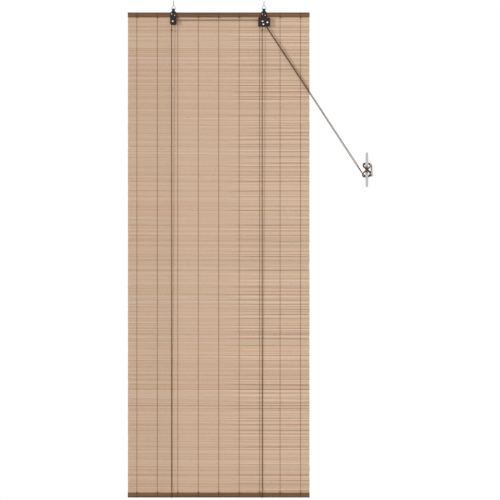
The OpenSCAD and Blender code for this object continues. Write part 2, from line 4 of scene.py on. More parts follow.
import bpy
import numpy as np
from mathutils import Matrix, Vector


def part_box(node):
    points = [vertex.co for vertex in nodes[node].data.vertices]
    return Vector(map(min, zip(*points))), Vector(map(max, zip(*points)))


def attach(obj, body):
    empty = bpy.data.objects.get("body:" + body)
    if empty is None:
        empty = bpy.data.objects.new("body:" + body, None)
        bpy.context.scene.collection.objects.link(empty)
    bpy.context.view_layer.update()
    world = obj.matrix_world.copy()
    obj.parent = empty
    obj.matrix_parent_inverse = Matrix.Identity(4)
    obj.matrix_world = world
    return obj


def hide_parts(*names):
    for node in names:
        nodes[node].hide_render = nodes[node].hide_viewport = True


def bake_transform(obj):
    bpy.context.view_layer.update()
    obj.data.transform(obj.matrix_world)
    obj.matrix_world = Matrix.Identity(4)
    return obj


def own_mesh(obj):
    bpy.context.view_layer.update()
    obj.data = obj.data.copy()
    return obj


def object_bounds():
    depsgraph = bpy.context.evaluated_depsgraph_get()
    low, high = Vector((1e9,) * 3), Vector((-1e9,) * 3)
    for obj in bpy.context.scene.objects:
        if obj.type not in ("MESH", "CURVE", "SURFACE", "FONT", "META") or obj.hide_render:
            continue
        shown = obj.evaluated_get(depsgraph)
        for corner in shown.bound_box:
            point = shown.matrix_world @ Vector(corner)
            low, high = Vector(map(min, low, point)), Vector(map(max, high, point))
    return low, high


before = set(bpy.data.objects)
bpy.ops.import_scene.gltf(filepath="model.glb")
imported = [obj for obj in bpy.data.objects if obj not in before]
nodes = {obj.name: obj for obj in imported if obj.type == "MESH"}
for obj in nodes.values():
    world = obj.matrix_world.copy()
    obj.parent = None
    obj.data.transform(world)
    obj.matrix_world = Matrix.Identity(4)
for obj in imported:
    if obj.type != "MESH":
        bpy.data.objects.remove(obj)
cad_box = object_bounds()
rng = np.random.default_rng(seed=11)

MM = 0.001
TAU = 2 * math.pi

# The photograph's frame: 500 pixels of 4.4 mm, and the pixel where the origin, at the ceiling, lies
PHOTO_PX = 500
PX_SIZE = 4.4 * MM
ORIGIN_PX = (218.69, 2.0)
CAMERA_DISTANCE = 10.0
SENSOR_MM = 36.0

# Sizes that the frame's boxes don't give; a pair is a radius and a length
SLAT_N = 380
THREAD_N = 9
THREAD_MARGIN = 40 * MM
RAIL_EDGE_R = 3 * MM
CORD_R = 1.5 * MM
CORD_RUN_R = 5.6 * MM
CORD_GAP = 0.3 * MM
BUTT_GAP = 0.2 * MM
LOCK_ANGLE = math.radians(28)
LOCK_CLEARANCE = 1 * MM
WIRE_R = 1.3 * MM
HOOK_BEND_R = 5.5 * MM
HOOK_SHOULDER = (4.2 * MM, 1.5 * MM)
SHANK = (1.9 * MM, 22 * MM)
SHANK_TIP = 4 * MM
RING_R = 0.9 * MM
RING_CORNER_R = 2.4 * MM


def box_corners(node):
    """Lowest and highest corner of a node's box."""
    low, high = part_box(node)
    return np.array(low), np.array(high)


def middle(node):
    """Middle of a node's box."""
    low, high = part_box(node)
    return np.array(low + high) / 2


mat_low, mat_high = box_corners("bamboo_mat")
head_low, head_high = box_corners("head_rail")
foot_low, foot_high = box_corners("bottom_rail")
slat_step = (mat_high[2] - mat_low[2]) / SLAT_N
thread_x = np.linspace(mat_low[0] + THREAD_MARGIN, mat_high[0] - THREAD_MARGIN, THREAD_N)
rail_half = (head_high[1] - head_low[1]) / 2


# Surfaces

def grid_faces(rows, cols, closed_rows=False):
    """Quads between the points of a grid whose columns are closed into rings."""
    row = np.arange(rows if closed_rows else rows - 1)[:, None]
    col = np.arange(cols)[None, :]
    after_row, after_col = (row + 1) % rows, (col + 1) % cols
    quads = [row * cols + col, after_row * cols + col, after_row * cols + after_col, row * cols + after_col]
    return np.stack(quads, axis=-1).reshape(-1, 4)


def end_caps(rows, cols):
    """Flat faces on the first and the last ring of a tube."""
    first = list(range(cols))
    return [first, [(rows - 1) * cols + k for k in reversed(first)]]


def tube_faces(rows, cols):
    """Faces of an open tube: the quads of its grid and its end caps."""
    return [*grid_faces(rows, cols).tolist(), *end_caps(rows, cols)]


def joined(parts):
    """One list of points and faces from several (points, faces) pairs."""
    points, faces, start = [], [], 0
    for part_points, part_faces in parts:
        flat = np.asarray(part_points).reshape(-1, 3)
        points.append(flat)
        faces += [[start + k for k in face] for face in part_faces]
        start += len(flat)
    return np.concatenate(points), faces


def add_piece(name, points, faces, material, body, slot, uv=None):
    """Mesh piece at the origin that rides on a body; uv gives one pair for each point.
    Faces of up to four corners are shaded smooth, and larger ones, such as most end caps, flat."""
    mesh = bpy.data.meshes.new(name)
    mesh.from_pydata(np.asarray(points).reshape(-1, 3).tolist(), [], [list(map(int, f)) for f in faces])
    if uv is not None:
        layer = mesh.uv_layers.new(name="UVMap")
        corner = np.zeros(len(mesh.loops), int)
        mesh.loops.foreach_get("vertex_index", corner)
        layer.data.foreach_set("uv", np.asarray(uv, np.float32).reshape(-1, 2)[corner].ravel())
    mesh.polygons.foreach_set("use_smooth", [len(face) <= 4 for face in faces])
    mesh.materials.append(material)
    mesh.validate()
    piece = bpy.data.objects.new(name, mesh)
    bpy.context.scene.collection.objects.link(piece)
    if body:
        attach(piece, body)
    return piece


def unit(vectors):
    """Vectors brought to a length of one."""
    return vectors / np.linalg.norm(vectors, axis=-1, keepdims=True)


def directions(path, closed=False):
    """Unit direction of a path at each of its points, from its neighbours."""
    if closed:
        return unit(np.roll(path, -1, axis=0) - np.roll(path, 1, axis=0))
    return unit(np.gradient(path, axis=0))


def carried_sides(path, first):
    """Sideways unit directions along a path, each one the last one made square to the new direction."""
    sides = np.empty_like(path)
    side = np.asarray(first, float)
    for i, way in enumerate(directions(path)):
        side = unit(side - (side @ way) * way)
        sides[i] = side
    return sides


def tube(path, side, radius, count, closed=False):
    """Rings round a path: path + r (cos a side + sin a up). The side is one direction or one for each point,
    and r is a number or an array that fits (points, count)."""
    side = np.broadcast_to(np.asarray(side, float), path.shape)
    up = np.cross(directions(path, closed), side)
    angle = np.arange(count) * TAU / count
    cos, sin = np.cos(angle)[None, :, None], np.sin(angle)[None, :, None]
    radius = np.broadcast_to(radius, (len(path), count))
    return path[:, None, :] + radius[:, :, None] * (cos * side[:, None, :] + sin * up[:, None, :])


def closed_tube(path, radius, sides):
    """Tube round a closed path, with sideways directions that point away from its middle."""
    ahead = directions(path, closed=True)
    out = path - path.mean(axis=0)
    side = unit(out - np.sum(out * ahead, axis=1, keepdims=True) * ahead)
    rings = tube(path, side, radius, sides, closed=True)
    return rings, grid_faces(len(path), sides, closed_rows=True).tolist()


def run_length(path):
    """Length along a path at each of its points."""
    return np.concatenate([[0], np.cumsum(np.linalg.norm(np.diff(path, axis=0), axis=1))])


def tube_uv(path, count):
    """UV of a tube: the turn, from 0 up to 1, and the length in metres."""
    turn = np.arange(count) / count
    return np.stack(np.broadcast_arrays(turn[None, :], run_length(path)[:, None]), axis=-1)


def resampled(path, step):
    """Points at an even step along a polyline."""
    path = np.asarray(path, float)
    length = run_length(path)
    places = np.linspace(0, length[-1], max(2, int(round(length[-1] / step)) + 1))
    return np.stack([np.interp(places, length, path[:, k]) for k in range(3)], axis=1)


def eased(path, times):
    """Path whose inner points move to (previous + 2 self + next) / 4 some times, so that kinks round off."""
    for _ in range(times):
        inner = (path[:-2] + 2 * path[1:-1] + path[2:]) / 4
        path = np.concatenate([path[:1], inner, path[-1:]])
    return path


def smooth_curve(points, per_span):
    """Curve through given points: cubic spans whose slopes come from the neighbours' chord lengths."""
    points = np.asarray(points, float)
    ends = np.concatenate([[2 * points[0] - points[1]], points, [2 * points[-1] - points[-2]]])
    knots = np.concatenate([[0], np.cumsum(np.sqrt(np.linalg.norm(np.diff(ends, axis=0), axis=1)))])
    slope = (ends[2:] - ends[:-2]) / (knots[2:] - knots[:-2])[:, None]
    span = (knots[2:-1] - knots[1:-2])[:, None, None]
    t = (np.arange(per_span) / per_span)[None, :, None]
    a, b = points[:-1, None], points[1:, None]
    slope_a, slope_b = slope[:-1, None] * span, slope[1:, None] * span
    curve = (2 * t**3 - 3 * t**2 + 1) * a + (t**3 - 2 * t**2 + t) * slope_a
    curve = curve + (3 * t**2 - 2 * t**3) * b + (t**3 - t**2) * slope_b
    return np.concatenate([curve.reshape(-1, 3), points[-1:]])


def arc(mid, radius, start, stop, steps):
    """Points (a, b) on a circle from one angle to another, in degrees."""
    angle = np.radians(np.linspace(start, stop, steps + 1))
    return np.stack([mid[0] + radius * np.cos(angle), mid[1] + radius * np.sin(angle)], axis=1)


def in_yz(points, x):
    """Points (y, z) in the plane at x."""
    points = np.asarray(points, float)
    return np.column_stack([np.full(len(points), x), points])


def in_xz(points, y):
    """Points (x, z) in the plane at y."""
    points = np.asarray(points, float)
    return np.column_stack([points[:, 0], np.full(len(points), y), points[:, 1]])


def revolved(profile, mid, count):
    """Surface of revolution: mid + (r cos a, r sin a, h) for each (r, h) of a profile."""
    angle = np.arange(count) * TAU / count
    ring = np.stack([np.cos(angle), np.sin(angle), np.zeros(count)], axis=1)
    profile = np.asarray(profile, float)
    return np.asarray(mid) + profile[:, 0, None, None] * ring + profile[:, 1, None, None] * [0, 0, 1]


def knot(mid, scale, radius, rows, sides):
    """Knot: a trefoil, (sin t + 2 sin 2t, sin 3t, cos t - 2 cos 2t) times a scale, as a closed tube."""
    t = np.arange(rows) * TAU / rows
    path = np.stack([np.sin(t) + 2 * np.sin(2 * t), np.sin(3 * t), np.cos(t) - 2 * np.cos(2 * t)], axis=1)
    return closed_tube(mid + path * scale, radius, sides)


# Shader groups and materials

def srgb(red, green, blue):
    """Linear colour of 8 bit sRGB values."""
    values = np.array([red, green, blue]) / 255
    linear = np.where(values <= 0.04045, values / 12.92, ((values + 0.055) / 1.055) ** 2.4)
    return (*linear.tolist(), 1.0)


def add_node(tree, kind, values=(), settings=None, **named):
    """New shader node; a value for an input is a number, a colour or another node's output."""
    made = tree.nodes.new(kind)
    for key, value in (settings or {}).items():
        setattr(made, key, value)
    pairs = [(made.inputs[i], v) for i, v in enumerate(values) if v is not None]
    pairs += [(made.inputs[key.replace("_", " ")], v) for key, v in named.items()]
    for socket, value in pairs:
        if isinstance(value, bpy.types.NodeSocket):
            tree.links.new(value, socket)
        else:
            socket.default_value = value
    return made


def math_node(tree, operation, *values, clamp=False):
    """Output of a Math node."""
    return add_node(tree, "ShaderNodeMath", values, {"operation": operation, "use_clamp": clamp}).outputs[0]


def mixed(tree, factor, first, second):
    """Colour output of a Mix node, whose colour inputs follow five for numbers and vectors."""
    values = [factor, *[None] * 5, first, second]
    return add_node(tree, "ShaderNodeMix", values, {"data_type": "RGBA"}).outputs[2]


def shader_group(name, inputs, outputs):
    """Empty node group with named sockets; returns the group, its input node and its output node."""
    group = bpy.data.node_groups.new(name, "ShaderNodeTree")
    for label, kind, value in inputs:
        socket = group.interface.new_socket(label, in_out="INPUT", socket_type=kind)
        if value is not None:
            socket.default_value = value
    for label in outputs:
        group.interface.new_socket(label, in_out="OUTPUT", socket_type="NodeSocketFloat")
    return group, group.nodes.new("NodeGroupInput"), group.nodes.new("NodeGroupOutput")


def stretched_grain_group():
    """Grain: fractal noise of the place times a scale for each axis, from 0 to 1."""
    group, given, result = shader_group(
        "stretched_grain",
        [("Vector", "NodeSocketVector", None), ("Scale", "NodeSocketVector", (1, 1, 1)),
         ("Detail", "NodeSocketFloat", 4.0)],
        ["Value"],
    )
    place = add_node(group, "ShaderNodeVectorMath", [given.outputs["Vector"], given.outputs["Scale"]],
                     {"operation": "MULTIPLY"})
    noise = add_node(group, "ShaderNodeTexNoise", Vector=place.outputs[0], Scale=1.0,
                     Detail=given.outputs["Detail"], Roughness=0.55)
    group.links.new(noise.outputs[0], result.inputs["Value"])
    return group


def worn_spots_group():
    """Worn spots: where noise of a given size passes one minus the amount, with a soft rim."""
    rim_slope = 9.0
    group, given, result = shader_group(
        "worn_spots",
        [("Vector", "NodeSocketVector", None), ("Size", "NodeSocketFloat", 100.0),
         ("Amount", "NodeSocketFloat", 0.4)],
        ["Mask"],
    )
    noise = add_node(group, "ShaderNodeTexNoise", Vector=given.outputs["Vector"],
                     Scale=given.outputs["Size"], Detail=6.0, Roughness=0.65)
    edge = math_node(group, "SUBTRACT", 1.0, given.outputs["Amount"])
    over = math_node(group, "SUBTRACT", noise.outputs[0], edge)
    mask = math_node(group, "MULTIPLY", over, rim_slope, clamp=True)
    group.links.new(mask, result.inputs["Mask"])
    return group


def braid_group():
    """Braid: two families of strands that cross, as the product of two waves over turn and length."""
    group, given, result = shader_group(
        "braid",
        [("Vector", "NodeSocketVector", None), ("Strands", "NodeSocketFloat", 3.0),
         ("Per metre", "NodeSocketFloat", 200.0)],
        ["Height"],
    )
    parts = add_node(group, "ShaderNodeSeparateXYZ", [given.outputs["Vector"]])
    turn = math_node(group, "MULTIPLY", parts.outputs[0], given.outputs["Strands"])
    run = math_node(group, "MULTIPLY", parts.outputs[1], given.outputs["Per metre"])
    waves = []
    for operation in ("ADD", "SUBTRACT"):
        phase = math_node(group, operation, turn, run)
        waves.append(math_node(group, "SINE", math_node(group, "MULTIPLY", phase, TAU)))
    crossed = math_node(group, "MULTIPLY", *waves)
    height = math_node(group, "MULTIPLY_ADD", crossed, 0.5, 0.5)
    group.links.new(height, result.inputs["Height"])
    return group


GRAIN = stretched_grain_group()
WORN = worn_spots_group()
BRAID = braid_group()


class Finish:
    """Material with a Principled shader, and short calls for the nodes that feed it."""

    def __init__(self, name, roughness, metallic=0.0, **constants):
        """New material whose other constants are named as the shader's inputs, with _ for a space."""
        self.material = bpy.data.materials.new(name)
        self.material.use_nodes = True
        self.tree = self.material.node_tree
        self.shader = self.tree.nodes["Principled BSDF"]
        self.shader.inputs["Roughness"].default_value = roughness
        self.shader.inputs["Metallic"].default_value = metallic
        for key, value in constants.items():
            self.shader.inputs[key.replace("_", " ")].default_value = value
        place = self.tree.nodes.new("ShaderNodeTexCoord")
        self.place, self.uv = place.outputs["Object"], place.outputs["UV"]

    def group(self, group, **named):
        """Output of a node group."""
        made = add_node(self.tree, "ShaderNodeGroup", settings={"node_tree": group}, **named)
        return made.outputs[0]

    def math(self, operation, *values, clamp=False):
        """Output of a Math node."""
        return math_node(self.tree, operation, *values, clamp=clamp)

    def mix(self, factor, first, second):
        """Colour between two colours."""
        return mixed(self.tree, factor, first, second)

    def spread(self, value, low, high):
        """Value from 0 to 1 brought to a range."""
        return self.math("MULTIPLY_ADD", value, high - low, low)

    def ramp(self, value, gain, offset):
        """Value times a gain plus an offset, held between 0 and 1."""
        return self.math("MULTIPLY_ADD", value, gain, offset, clamp=True)

    def part(self, value, share):
        """Share of a value."""
        return self.math("MULTIPLY", value, share)

    def axis(self, index):
        """One coordinate of the place."""
        return add_node(self.tree, "ShaderNodeSeparateXYZ", [self.place]).outputs[index]

    def attribute(self, name):
        """Number that the mesh keeps for each point."""
        return add_node(self.tree, "ShaderNodeAttribute", settings={"attribute_name": name}).outputs["Fac"]

    def feed(self, socket, value):
        """Link a value to one of the shader's inputs."""
        self.tree.links.new(value, self.shader.inputs[socket])

    def bump(self, height, strength, distance):
        """Relief from a height."""
        made = add_node(self.tree, "ShaderNodeBump", Strength=strength, Distance=distance, Height=height)
        self.feed("Normal", made.outputs[0])


def bamboo():
    """Split bamboo: a tone for each slat, long grain, broad pink and straw bands, and dark stem nodes."""
    stem_half, stem_shift, joint_slope = 0.19, 5.3, 220.0
    finish = Finish("split_bamboo", roughness=0.6, Specular_IOR_Level=0.3)
    grain = finish.group(GRAIN, Vector=finish.place, Scale=(14, 220, 1500), Detail=5.0)
    bands = finish.group(GRAIN, Vector=finish.place, Scale=(1.6, 1, 34), Detail=3.0)
    tone = finish.math("ADD", finish.attribute("tone"), finish.spread(grain, -0.16, 0.16), clamp=True)
    straw = finish.mix(tone, srgb(168, 136, 103), srgb(218, 188, 154))
    pink = finish.mix(tone, srgb(170, 133, 107), srgb(221, 185, 156))
    colour = finish.mix(finish.ramp(bands, gain=3.2, offset=-1.1), straw, pink)
    shifted = finish.math("MULTIPLY_ADD", finish.attribute("seed"), stem_shift, finish.axis(0))
    joint = finish.ramp(finish.math("PINGPONG", shifted, stem_half), gain=-joint_slope, offset=1.0)
    colour = finish.mix(finish.part(joint, share=0.25), colour, srgb(140, 106, 76))
    finish.feed("Base Color", colour)
    finish.feed("Roughness", finish.spread(grain, 0.48, 0.72))
    finish.bump(grain, strength=0.35, distance=0.4 * MM)
    return finish.material


def stained_wood(name, low, high, shaded_side):
    """Stained rail: grain along X, painted shade as a darker band along one long edge, where the rail's
    rounded edge turns from the light, and a little lighter at the right end.
    """
    shade_slope = 3.0
    finish = Finish(name, roughness=0.42, Specular_IOR_Level=0.3)
    mid_z, half_height = (low[2] + high[2]) / 2, (high[2] - low[2]) / 2
    grain = finish.group(GRAIN, Vector=finish.place, Scale=(5, 120, 420), Detail=6.0)
    pores = finish.group(GRAIN, Vector=finish.place, Scale=(45, 900, 2600), Detail=2.0)
    off = finish.math("SUBTRACT", finish.axis(2), mid_z)
    # Painted shade: a darker band along the long edge on the given side, mixed in below towards dark brown.
    edge = finish.ramp(off, gain=shade_slope * shaded_side / half_height, offset=-1.2)
    right = finish.ramp(finish.axis(0), gain=0.5, offset=0.2)
    colour = finish.mix(finish.ramp(grain, gain=2.2, offset=-0.6), srgb(86, 55, 33), srgb(136, 96, 64))
    colour = finish.mix(right, colour, srgb(126, 88, 60))
    colour = finish.mix(finish.part(edge, share=0.72), colour, srgb(60, 42, 30))
    colour = finish.mix(finish.ramp(pores, gain=4.0, offset=-2.3), colour, srgb(58, 37, 23))
    finish.feed("Base Color", colour)
    finish.feed("Roughness", finish.spread(grain, 0.34, 0.55))
    finish.bump(grain, strength=0.25, distance=0.3 * MM)
    return finish.material


def black_paint():
    """Satin black paint on sheet steel: fine orange peel, dull patches and small bare scuffs."""
    finish = Finish("black_paint", roughness=0.4, Specular_IOR_Level=0.25)
    peel = finish.group(GRAIN, Vector=finish.place, Scale=(900, 900, 900), Detail=2.0)
    dull = finish.group(GRAIN, Vector=finish.place, Scale=(70, 70, 70), Detail=5.0)
    scuff = finish.group(WORN, Vector=finish.place, Size=210.0, Amount=0.3)
    colour = finish.mix(dull, srgb(28, 20, 13), srgb(54, 42, 31))
    colour = finish.mix(finish.part(scuff, share=0.45), colour, srgb(104, 98, 90))
    finish.feed("Base Color", colour)
    finish.feed("Roughness", finish.spread(dull, 0.28, 0.58))
    finish.feed("Metallic", finish.part(scuff, share=0.5))
    finish.bump(peel, strength=0.12, distance=0.2 * MM)
    return finish.material


def black_plastic():
    """Moulded black plastic of the pulleys: faint flow marks and rubbed spots."""
    finish = Finish("black_plastic", roughness=0.5)
    flow = finish.group(GRAIN, Vector=finish.place, Scale=(260, 60, 260), Detail=3.0)
    rubbed = finish.group(WORN, Vector=finish.place, Size=320.0, Amount=0.36)
    colour = finish.mix(flow, srgb(20, 20, 20), srgb(44, 43, 42))
    finish.feed("Base Color", finish.mix(finish.part(rubbed, share=0.4), colour, srgb(84, 80, 76)))
    finish.feed("Roughness", finish.spread(flow, 0.38, 0.62))
    finish.bump(flow, strength=0.08, distance=0.2 * MM)
    return finish.material


def plated_steel(name, bright, dark):
    """Bright plating: fine drawn lines and slightly dulled patches."""
    finish = Finish(name, roughness=0.25, metallic=1.0)
    lines = finish.group(GRAIN, Vector=finish.place, Scale=(1500, 1500, 260), Detail=3.0)
    dulled = finish.group(WORN, Vector=finish.place, Size=190.0, Amount=0.42)
    finish.feed("Base Color", finish.mix(finish.part(dulled, share=0.55), bright, dark))
    finish.feed("Roughness", finish.math("MULTIPLY_ADD", dulled, 0.2, finish.spread(lines, 0.16, 0.36)))
    finish.bump(lines, strength=0.06, distance=0.1 * MM)
    return finish.material


def cleat_plastic():
    """Light grey moulded plastic: soft mottling, a satin skin and rubbed spots."""
    finish = Finish("cleat_plastic", roughness=0.38, Specular_IOR_Level=0.45)
    mottle = finish.group(GRAIN, Vector=finish.place, Scale=(90, 90, 40), Detail=4.0)
    rubbed = finish.group(WORN, Vector=finish.place, Size=140.0, Amount=0.38)
    colour = finish.mix(mottle, srgb(172, 172, 176), srgb(200, 200, 203))
    finish.feed("Base Color", finish.mix(finish.part(rubbed, share=0.5), colour, srgb(214, 212, 208)))
    finish.feed("Roughness", finish.spread(mottle, 0.28, 0.5))
    finish.bump(mottle, strength=0.05, distance=0.4 * MM)
    return finish.material


def yarn(name, dark, light, strands, per_metre):
    """Braided cord or twisted thread: strands that cross over turn and length, with fuzz, and painted shade
    that darkens the grooves between the strands.
    """
    finish = Finish(name, roughness=0.85, Specular_IOR_Level=0.15, Sheen_Weight=0.02)
    strand = finish.group(BRAID, Vector=finish.uv, Strands=strands, Per_metre=per_metre)
    fuzz = finish.group(GRAIN, Vector=finish.place, Scale=(1800, 1800, 1800), Detail=3.0)
    # Fuzz mottles the colour, and painted shade makes the strands' grooves darker and their crests lighter.
    fuzz_and_groove_shade = finish.ramp(fuzz, gain=0.7, offset=finish.spread(strand, -0.2, 0.5))
    finish.feed("Base Color", finish.mix(fuzz_and_groove_shade, dark, light))
    finish.feed("Roughness", finish.spread(fuzz, 0.72, 0.95))
    finish.bump(strand, strength=0.5, distance=0.3 * MM)
    return finish.material


BAMBOO = bamboo()
BLACK_PAINT = black_paint()
BLACK_PLASTIC = black_plastic()
PLATED = plated_steel("plated_steel", srgb(206, 206, 204), srgb(150, 148, 144))
# Darker copy of the plated steel for the hooks' wire and shoulder and for the rings: painted dark
# reflection.
DARK_REFLECTION_STEEL = plated_steel("steel_painted_dark_reflection", srgb(134, 132, 129), srgb(96, 93, 90))
RIVET = plated_steel("rivet_steel", srgb(238, 237, 235), srgb(206, 204, 200))
CLEAT_GREY = cleat_plastic()
CORD = yarn("braided_cord", srgb(68, 42, 16), srgb(116, 80, 42), strands=3.0, per_metre=170.0)
THREAD = yarn("twisted_thread", srgb(66, 38, 14), srgb(102, 66, 32), strands=1.0, per_metre=380.0)
RAIL_THREAD = yarn("stained_thread", srgb(46, 28, 12), srgb(80, 50, 26), strands=1.0, per_metre=380.0)


# Mat

# Ranges for each slat: play at its ends, half its thickness, play in its height, and the length of its waves
SLAT_ENDS = (0, 1.4 * MM)
SLAT_HALF_T = (0.78 * MM, 0.98 * MM)
SLAT_PLAY = (0.03 * MM, 0.22 * MM)
SLAT_WAVES = (0.5, 1.6)
# A slat's place across the mat, its wander in Y and Z, its tilt and twist in degrees, and its rounding
SLAT_OFF = 0.08 * MM
WANDER_Y = 0.07 * MM
WANDER_Z = 0.1 * MM
SLAT_TILT = 2.2
SLAT_TWIST = 1.2
SLAT_ROUNDING = 0.55

# Places along X, and values there, of the change to the right, the spread of tones and their trend
RIGHT_PLACES, RIGHT_SHARES = [0.02, 0.13, 0.4], [0, 0.8, 1]
SPREAD_PLACES, SPREADS = [-0.3, -0.25, 0.02, 0.13, 0.4], [0.1, 0.07, 0.07, 0.18, 0.2]
TREND_PLACES, TRENDS = [-0.25, -0.15, 0.15, 0.25], [0.46, 0.58, 0.57, 0.6]
# Streaks: their share of the slats, ranges of middle and half length, and tones on light and on dark slats
STREAK_SHARE = 0.3
STREAK_MID = (-0.1, 0.4)
STREAK_HALF = (0.06, 0.3)
STREAK_TONES = (0.32, -0.46)
# Slow waves, broad bands with what they gain to the right and the slats that they are averaged over, and the
# share of its neighbours' tones that a slat loses
SLOW_TONE = 0.05
BAND_TONE = 0.06
BAND_TONE_RIGHT = 0.05
BAND_SLATS = (5, 25)
NEIGHBOUR_SHARE = 0.3


def set_off(values, share):
    """Values less a share of those of the slats above and below, so that each slat stands out."""
    padded = np.concatenate([values[:1], values, values[-1:]])
    return values - share * (padded[:-2] + padded[2:])


def broad_bands(noise):
    """Noise with a value for each slat, averaged over a few slats less its average over many."""
    few, many = (np.convolve(noise, np.full(count, 1 / count), "same") for count in BAND_SLATS)
    return few - many


def swayed(wave, share, shift):
    """Slow sine along each slat, at a share of its own waves."""
    return np.sin(share * wave + shift)


def slat_tones(x, wave):
    """Tones of the slats along X: a trend and broad bands, and each slat's own tone with slow waves and
    streaks, set off from its neighbours. All but the trend and the waves grow to the right."""
    one = (SLAT_N, 1, 1)
    right = np.interp(x, RIGHT_PLACES, RIGHT_SHARES)
    own = rng.normal(0, 1, one) * np.interp(x, SPREAD_PLACES, SPREADS)
    streak_mid, streak_half = rng.uniform(*STREAK_MID, one), rng.uniform(*STREAK_HALF, one)
    streak = np.exp(-(((x - streak_mid) / streak_half) ** 2)) * (rng.random(one) < STREAK_SHARE)
    streak = streak * right * np.where(own > 0, *STREAK_TONES)
    slow = SLOW_TONE * swayed(wave, share=0.8, shift=2.0)
    bands = broad_bands(rng.normal(0, 1, SLAT_N)).reshape(one)
    broad = (BAND_TONE + BAND_TONE_RIGHT * right) * bands
    trend = np.interp(x, TREND_PLACES, TRENDS)
    return np.clip(trend + broad + set_off(own + slow + streak, NEIGHBOUR_SHARE), 0, 1)


def slats():
    """Slats: superellipse sections, |y/a|^n + |z/b|^n = 1, carried along X with slow sine wander and twist.
    Each has its own height, thickness, ends, turn and tone."""
    stations, corners, end_share = 22, 8, 0.0006
    one = (SLAT_N, 1, 1)
    order = np.arange(SLAT_N).reshape(one)
    start = mat_low[0] + rng.uniform(*SLAT_ENDS, one)
    stop = mat_high[0] - rng.uniform(*SLAT_ENDS, one)
    share = np.concatenate([[0], np.linspace(end_share, 1 - end_share, stations - 2), [1]])
    x = start + (stop - start) * share.reshape(1, stations, 1)
    half_t = rng.uniform(*SLAT_HALF_T, one)
    half_h = slat_step / 2 - rng.uniform(*SLAT_PLAY, one)
    wave = x * TAU / rng.uniform(*SLAT_WAVES, one) + rng.uniform(0, TAU, one)
    mid_y = rng.uniform(-SLAT_OFF, SLAT_OFF, one) + WANDER_Y * np.sin(wave)
    mid_z = mat_high[2] - (order + 0.5) * slat_step + WANDER_Z * swayed(wave, share=0.7, shift=1.0)
    turn = np.radians(rng.normal(0, SLAT_TILT, one) + SLAT_TWIST * swayed(wave, share=0.9, shift=0.0))
    angle = (np.arange(corners) + 0.5).reshape(1, 1, corners) * TAU / corners
    y = half_t * np.sign(np.cos(angle)) * np.abs(np.cos(angle)) ** SLAT_ROUNDING
    z = half_h * np.sign(np.sin(angle)) * np.abs(np.sin(angle)) ** SLAT_ROUNDING
    turned_y = mid_y + y * np.cos(turn) - z * np.sin(turn)
    turned_z = mid_z + y * np.sin(turn) + z * np.cos(turn)
    points = np.stack(np.broadcast_arrays(x, turned_y, turned_z), axis=-1)
    first = np.arange(SLAT_N)[:, None, None] * stations * corners
    quads = (first + grid_faces(stations, corners)).reshape(-1, 4)
    caps = (first + np.array(end_caps(stations, corners))).reshape(-1, corners)
    tone = slat_tones(x, wave)
    piece = add_piece("bamboo_slats", points, [*quads.tolist(), *caps.tolist()], BAMBOO, "blind", "bamboo")
    for name, values in (("tone", tone), ("seed", rng.random(one))):
        for_points = np.broadcast_to(values, points.shape[:-1])
        attribute = piece.data.attributes.new(name, "FLOAT", "POINT")
        attribute.data.foreach_set("value", np.ascontiguousarray(for_points, np.float32).ravel())
    return piece


# Warp threads: their corners' radii, their distance from the mat's middle, and their swing to the side
THREAD_RADII = np.array([0.7, 0.42, 0.7, 0.42]) * MM
THREAD_OFF = 1.42 * MM
THREAD_FLATNESS = 1.5
THREAD_SWING = 0.35 * MM
# Threads over a rail: their sizes, where they start on the mat, and their knots
RAIL_THREAD_R = 0.5 * MM
RAIL_THREAD_PROUD = 0.45 * MM
RAIL_THREAD_STEP = 1.5 * MM
RAIL_THREAD_START_Y = 1.45 * MM
RAIL_THREAD_REACH = 4 * MM
THREAD_KNOT = {"scale": np.array([0.7, 0.27, 1.0]) * MM, "radius": 0.75 * MM, "rows": 20, "sides": 5}
THREAD_KNOT_SINK = 0.4 * MM
THREAD_KNOT_REACH = 1.2 * MM


def thread_pairs():
    """Warp threads: two at each place, one before and one behind each slat in turn, crossing at the joints.
    With phase p of half a turn for each slat, y is a flattened cosine of p and x a sine of p."""
    per_slat, sides = 3, len(THREAD_RADII)
    count = SLAT_N * per_slat
    place = (np.arange(count) + 0.5) / per_slat
    phase = math.pi * (place - 0.5)
    z = mat_high[2] - place * slat_step
    y = THREAD_OFF * np.clip(THREAD_FLATNESS * np.cos(phase), -1, 1)
    swing = THREAD_SWING * np.sin(phase)
    parts, uvs = [], []
    for x in thread_x:
        for sign in (-1, 1):
            path = np.stack([x + sign * swing, sign * y, z], axis=1)
            parts.append((tube(path, (1, 0, 0), THREAD_RADII, sides), tube_faces(count, sides)))
            uvs.append(tube_uv(path, sides).reshape(-1, 2))
    points, faces = joined(parts)
    return add_piece("warp_thread_pairs", points, faces, THREAD, "blind", "thread", np.concatenate(uvs))


